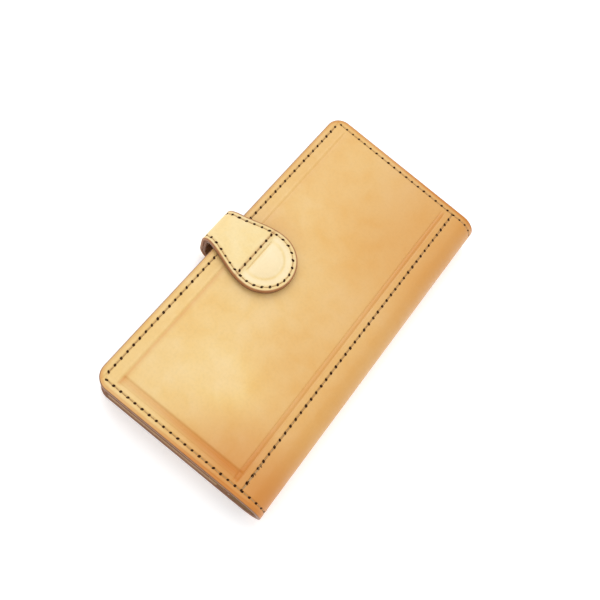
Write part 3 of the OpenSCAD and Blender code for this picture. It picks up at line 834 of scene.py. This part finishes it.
def strap_head():
    """The head half of the strap: its face, its lining and its stitching."""
    q, y = head_grid()
    distance = strap_distance(q, y)
    place = strap_place(1)
    face = sheet("strap_head_leather", place, q, y, STRAP_LAYER, STRAP, distance,
                 relief=strap_relief(q, y), tint=strap_tint(q, y), edge_r=0.5, band=1.05,
                 flip=True)
    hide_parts("strap_head_outer", "strap_riser_outer")
    inset = 1 - 0.25 * (1 - smooth(distance / 3)) / HEAD_R
    back = sheet("strap_head_lining_leather", layer_place(place, STRAP_LAYER), q, y * inset, STRAP_LAYER,
                 LINING, distance, edge_r=0.4, flip=True)
    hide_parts("strap_head_lining", "strap_riser_lining")
    along_side = np.linspace(0, HEAD_Q, 60)
    side = [(a, strap_half(a) - STRAP_INSET) for a in along_side]
    round_end = [(HEAD_Q + (HEAD_R - STRAP_INSET) * math.sin(t), (HEAD_R - STRAP_INSET) * math.cos(t))
                 for t in np.linspace(0, math.pi, 40)]
    row = side + round_end[1:-1] + [(a, -b) for a, b in reversed(side)]
    seam_half = strap_half(SEAM_Q) - STRAP_INSET - 1.6
    seam = [(SEAM_Q, seam_half), (SEAM_Q, -seam_half)]
    rows = []
    for face_place, deep in ((place, STRAP_GROOVE_D), (under_place(place, 2 * STRAP_LAYER), 0)):
        rows.append(stitch_row(face_place, row, pitch=STRAP_PITCH, depth=deep))
        rows.append(stitch_row(face_place, seam, pitch=SEAM_PITCH, depth=deep))
    thread, holes = stitching("strap_head_stitching", rows)
    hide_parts("strap_head_thread", "strap_riser_thread")
    for piece in (face, back, thread, holes):
        bend_strap(piece)


def strap_tail():
    """The tail half of the strap, which runs down the riser and in under the edge of the back cover."""
    end_q = STRAP_RISE + STRAP_ARC + 1.4
    lines = graded(end_q, [(0, end_q, 0.45)], 0.45)
    ends = graded(1.0, [(0, 0.06, 0.012), (0.06, 0.34, 0.025)], 0.08)[:-1]
    v = mirrored(ends, 1)
    q = np.broadcast_to(lines[:, None], (len(lines), len(v)))
    y = RISER_HALF * v[None, :] * np.ones_like(q)
    distance = RISER_HALF - np.abs(y)
    place = strap_place(-1)
    relief = groove(distance - STRAP_INSET, GROOVE_W, STRAP_GROOVE_D) + crease(distance, STRAP_CREASE)
    tint = 0.30 + 0.5 * (1 - smooth((distance - 0.35) / 1.2))
    face = sheet("strap_tail_leather", place, q, y, STRAP_LAYER, STRAP, distance,
                 relief=relief, tint=tint, edge_r=0.5)
    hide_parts("strap_tail_outer")
    back = sheet("strap_tail_lining_leather", layer_place(place, STRAP_LAYER), q, y * 0.985, STRAP_LAYER,
                 LINING, distance, edge_r=0.4)
    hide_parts("strap_tail_lining")
    side = RISER_HALF - STRAP_INSET
    rows = []
    for sign in (1, -1):
        path = [(0, sign * side), (end_q - 1.2, sign * side)]
        rows.append(stitch_row(place, path, pitch=STRAP_PITCH, depth=STRAP_GROOVE_D))
    thread, holes = stitching("strap_tail_stitching", rows)
    for piece in (face, back, thread, holes):
        bend_strap(piece)


def tail_box_rows():
    """The box of stitches that holds the strap's tail, on the outside of the back cover."""
    x1, x2, half = tail_box()
    path = [(x1, -half), (x2, -half), (x2, half), (x1, half), (x1, -half)]
    return [stitch_row(fold_place(-1), [a, b], pitch=BOX_PITCH) for a, b in zip(path, path[1:])]


# ---- inside

def lining_half(side):
    """One half of the lining, under the cover."""
    place = layer_place(fold_place(side), COVER_T)
    half = HALF_L - LINING_EDGE
    lines = graded(HALF_SHEET, [(0, 0.5, 0.12), (0.5, 8, 0.6), (FLAT_L, HALF_SHEET, 0.5)], 2.5)
    ends = graded(half, [(0, 0.5, 0.12), (0.5, 8, 0.6)], 2.5)[:-1]
    s, y = panel_grid(lines, ends, CORNER_R - LINING_EDGE, half)
    s = s + LINING_EDGE * np.clip(1 - lines / 20, 0, 1)[:, None]
    distance = panel_distance(s - LINING_EDGE, y, CORNER_R - LINING_EDGE, half)
    label = "front" if side > 0 else "back"
    piece = sheet(f"lining_{label}", place, s, y, LINING_T, LINING, distance,
                  edge_r=0.25, flip=side > 0)
    nodes = ("front_lining", "spine_lining") if side > 0 else ("back_lining",)
    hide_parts(*nodes)
    under = under_place(fold_place(side), COVER_T + LINING_T)
    reach = HALF_L - STITCH_INSET
    rows = [stitch_row(under, [(SPINE_ROW, -reach), (SPINE_ROW, reach)], depth=0, size=0.86)]
    for end in (-reach, reach):
        rows.append(stitch_row(under, [(SPINE_ROW, end), (HALF_SHEET, end)], depth=0, size=0.86))
    for made in (piece, *stitching(f"lining_{label}_stitching", rows)):
        fold(made)


def gusset(node):
    """A gusset: a strip folded once inwards along its length."""
    low, high = box_mm(node)
    side = 1 if low[1] > 0 else -1
    outer, apex = max(abs(low[1]), abs(high[1])), min(abs(low[1]), abs(high[1]))
    x1, x2 = low[0] - FORE_X, high[0] - FORE_X
    fold_t = 0.5
    run = np.linspace(0, 1, 31)
    swing = 1 - np.abs(2 * run - 1) ** 1.25
    path_y = side * (outer - (outer - apex - 0.3) * swing)
    path_z = low[2] + fold_t / 2 + (high[2] - low[2] - fold_t) * run
    step_y, step_z = np.gradient(path_y), np.gradient(path_z)
    size = np.hypot(step_y, step_z)
    normal_y, normal_z = side * step_z / size, -side * step_y / size

    def place(x, t, depth):
        shift = fold_t / 2 - np.asarray(depth)
        y = np.interp(t, run, path_y) + shift * np.interp(t, run, normal_y)
        z = np.interp(t, run, path_z) + shift * np.interp(t, run, normal_z)
        return xyz(FORE_X + x, y, z)

    x_lines = x1 + graded(x2 - x1, [(0, 0.6, 0.2), (x2 - x1 - 0.6, x2 - x1, 0.2)], 4.0)
    x, t = np.meshgrid(x_lines, run, indexing="ij")
    distance = np.minimum(x - x1, x2 - x) + 0.4
    piece = sheet(f"{node}_leather", place, x, t, fold_t, LINING, distance,
                  edge_r=0.1, flip=side > 0)
    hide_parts(node)
    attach(piece, "back")


def surface_depth(nodes, x, y):
    """How far below the lining's face the card leaves reach at (x, y), in millimetres."""
    deep = 0 * x
    for node in nodes:
        low, high = box_mm(node)
        over = (x > low[0] - FORE_X) & (x < high[0] - FORE_X) & (y > low[1]) & (y < high[1])
        deep = np.where(over, LEAF_TOP - low[2], deep)
    return deep


def card_side():
    """The eight card leaves, and the stitches that hold them."""
    leaves = [f"card_leaf_{side}_{count}" for count in (1, 2, 3, 4) for side in ("near", "far")]
    outer_r = CORNER_R - 0.5
    for node in leaves:
        mouth = box_mm(node)[1][0] - FORE_X
        radii = (outer_r, 0, 0, 2.5) if "near" in node else (0, outer_r, 2.5, 0)
        plate(f"{node}_leather", node, POCKET, "pocket_leather", "front", facing=-1, radii=radii,
              x_lines=((mouth - 2.2, 0.4, 0.22),), edge_r=0.35)
    place = flat_place(box_mm("card_leaf_near_4")[0][2], -1)
    x1 = STITCH_INSET + ROW_END
    x2 = box_mm("card_leaf_near_4")[1][0] - FORE_X - ROW_END
    rows = [stitch_row(place, [(x1, y), (x2, y)], depth=0) for y in (-2.5, 2.5)]
    thread, holes = stitching("card_divider_stitching", rows)
    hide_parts("card_divider_thread")
    reach = HALF_L - STITCH_INSET

    def inner_place(x, y, depth):
        z = LEAF_TOP - surface_depth(leaves, x, y) + np.asarray(depth)
        return xyz(FORE_X + x, y, z)

    edge = [(STITCH_INSET, ROW_END - reach), (STITCH_INSET, reach - ROW_END)]
    rows = [stitch_row(inner_place, edge, depth=0)]
    mouths = sorted(box_mm(f"card_leaf_near_{count}")[1][0] - FORE_X for count in (1, 2, 3, 4))
    mouths = [STITCH_INSET + ROW_END] + mouths
    for sign in (-1, 1):
        for a, b in zip(mouths, mouths[1:]):
            path = [(a + 1.2, sign * reach), (b - 1.2, sign * reach)]
            rows.append(stitch_row(inner_place, path, depth=0))
    inner_thread, inner_holes = stitching("card_edge_stitching", rows)
    for piece in (thread, holes, inner_thread, inner_holes):
        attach(piece, "front")


def pocket_side():
    """The bill pocket and the zipped coin pocket, inside the back half."""
    outer_r = CORNER_R - 0.5
    round_fore = (outer_r, outer_r, 0, 0)

    def back_plate(name, node, **shape):
        plate(f"{name}_leather", node, POCKET, "pocket_leather", "back", **shape)

    for node in ("bill_welt", "coin_welt", "bill_wall"):
        back_plate(node, node, radii=round_fore)
    mouth = box_mm("coin_front_panel")[1][0] - FORE_X
    row_x = mouth - STRAP_INSET
    back_plate("coin_panel", "coin_front_panel", radii=round_fore, edge_r=0.35,
               x_lines=((row_x, 0.6, 0.35), (mouth - 0.9, 0.3, 0.10)))
    low, high = box_mm("coin_top_strip")
    strip_row = (low[0] + high[0]) / 2 - FORE_X
    back_plate("coin_strip", "coin_top_strip", x_lines=((strip_row, 0.6, 0.35),), edge_r=0.35)
    back_plate("coin_wall", "coin_spine_wall", edge_r=0.2)
    for node in ("bill_gusset_near", "bill_gusset_far", "coin_gusset_near", "coin_gusset_far"):
        gusset(node)
    place = flat_place(box_mm("coin_front_panel")[1][2], 1)
    reach = box_mm("zip_tape_lower")[1][1]
    rows = []
    for x in (row_x, strip_row):
        rows.append(stitch_row(place, [(x, -reach), (x, reach)], pitch=ZIP_PITCH, depth=0.35, width=0.6))
    end = HALF_L - STITCH_INSET - ROW_END
    rows.append(stitch_row(place, [(STITCH_INSET, -end), (STITCH_INSET, end)], depth=0))
    thread, holes = stitching("coin_pocket_stitching", rows)
    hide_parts("coin_zip_thread")
    for piece in (thread, holes):
        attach(piece, "back")


def zip_parts():
    """The zip's woven tapes, and the CAD model's metal pieces with eased edges."""
    for node in ("zip_tape_lower", "zip_tape_upper"):
        plate(f"{node}_weave", node, TAPE, "zip_tape", "back", edge_r=0.12)
    for node in ("zip_teeth_lower", "zip_teeth_upper", "zip_stops", "zip_slider", "zip_pull"):
        finish_cad(node, BRASS, 0.22 if "teeth" in node else 0.3)
    for node in ("closure_disc", "strap_magnet"):
        finish_cad(node, STEEL, 0.1)


def finish_cad(node, material, ease):
    """Gives a CAD node its material and eases its edges."""
    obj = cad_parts[node]
    obj.data.materials.clear()
    obj.data.materials.append(material)
    bevel = obj.modifiers.new("ease", "BEVEL")
    bevel.width = ease * MM
    bevel.segments = 2
    bevel.limit_method = "ANGLE"
    bevel.harden_normals = False


# ---- build

def fold(obj):
    """Bakes a piece's transform into its mesh."""
    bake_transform(obj)


for side in (1, -1):
    fold(cover_half(side))
    lining_half(side)
    label = "front" if side > 0 else "back"
    thread, holes = stitching(f"{label}_stitching", cover_rows(side))
    if side > 0:
        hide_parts("front_perimeter_thread", "front_spine_thread", "spine_thread")
    else:
        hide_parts("back_perimeter_thread", "back_spine_thread")
    fold(thread)
    fold(holes)
strap_head()
strap_tail()
box_thread, box_holes = stitching("tail_box_stitching", tail_box_rows())
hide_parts("strap_tail_thread")
for piece in (box_thread, box_holes):
    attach(piece, "back")
card_side()
pocket_side()
zip_parts()


# ---- studio

def studio_floor():
    """A wide pale floor."""
    half = 8.0
    mesh = bpy.data.meshes.new("floor")
    corners = [(-half, -half, 0), (half, -half, 0), (half, half, 0), (-half, half, 0)]
    mesh.from_pydata(corners, [], [(0, 1, 2, 3)])
    floor = show(bpy.data.objects.new("floor", mesh))
    n = Nodes("floor")
    n.set(Base_Color=(0.92, 0.92, 0.925, 1), Roughness=0.9)
    n.set(Emission_Color=(1, 1, 1, 1), Emission_Strength=0.28)
    mesh.materials.append(n.material)


def studio_world():
    """White surroundings, brightest towards the horizon."""
    world = bpy.data.worlds.new("studio")
    world.use_nodes = True
    nodes, links = world.node_tree.nodes, world.node_tree.links
    height = nodes.new("ShaderNodeSeparateXYZ")
    links.new(nodes.new("ShaderNodeTexCoord").outputs["Generated"], height.inputs[0])
    fade = nodes.new("ShaderNodeMapRange")
    for socket, value in (("From Min", 0.10), ("From Max", 0.50), ("To Min", 1.05), ("To Max", 0.74)):
        fade.inputs[socket].default_value = value
    links.new(height.outputs["Z"], fade.inputs["Value"])
    links.new(fade.outputs["Result"], nodes["Background"].inputs["Strength"])
    nodes["Background"].inputs["Color"].default_value = (1.0, 1.0, 1.0, 1)
    bpy.context.scene.world = world


def softbox(name, where, power, size):
    """A square white light at where, in metres, that faces the wallet."""
    light = bpy.data.lights.new(name, "AREA")
    light.energy = power
    light.size = size
    obj = bpy.data.objects.new(name, light)
    obj.location = where
    obj.rotation_euler = (-Vector(where)).to_track_quat("-Z", "Y").to_euler()
    show(obj)


def studio_camera():
    """The camera, 68 degrees above the horizontal. Azimuth and elevation are its direction from the
    wallet."""
    azimuth, elevation, roll = (math.radians(a) for a in (3.87, 67.91, 35.54))
    target = Vector((48.81 + FORE_X, 91.77 - HALF_L, TOP)) * MM
    distance = 0.34242
    back = Vector((math.sin(azimuth) * math.cos(elevation), -math.cos(azimuth) * math.cos(elevation),
                   math.sin(elevation)))
    right = Vector((math.cos(azimuth), math.sin(azimuth), 0))
    up = back.cross(right)
    turned_right = math.cos(roll) * right + math.sin(roll) * up
    turned_up = math.cos(roll) * up - math.sin(roll) * right
    camera = bpy.data.cameras.new("camera")
    camera.lens = 42
    camera.sensor_width = 36
    obj = bpy.data.objects.new("camera", camera)
    rotation = Matrix((turned_right, turned_up, back)).transposed().to_4x4()
    obj.matrix_world = Matrix.Translation(target + back * distance) @ rotation
    bpy.context.scene.camera = show(obj)


studio_floor()
studio_world()
softbox("key", (-0.55, 0.45, 0.9), 5.2, 0.9)
softbox("fill", (0.7, -0.3, 0.8), 1.2, 0.9)
softbox("glint", (0.0, 0.14, 0.95), 0.6, 0.22)
studio_camera()
bpy.context.scene.view_settings.view_transform = "Standard"
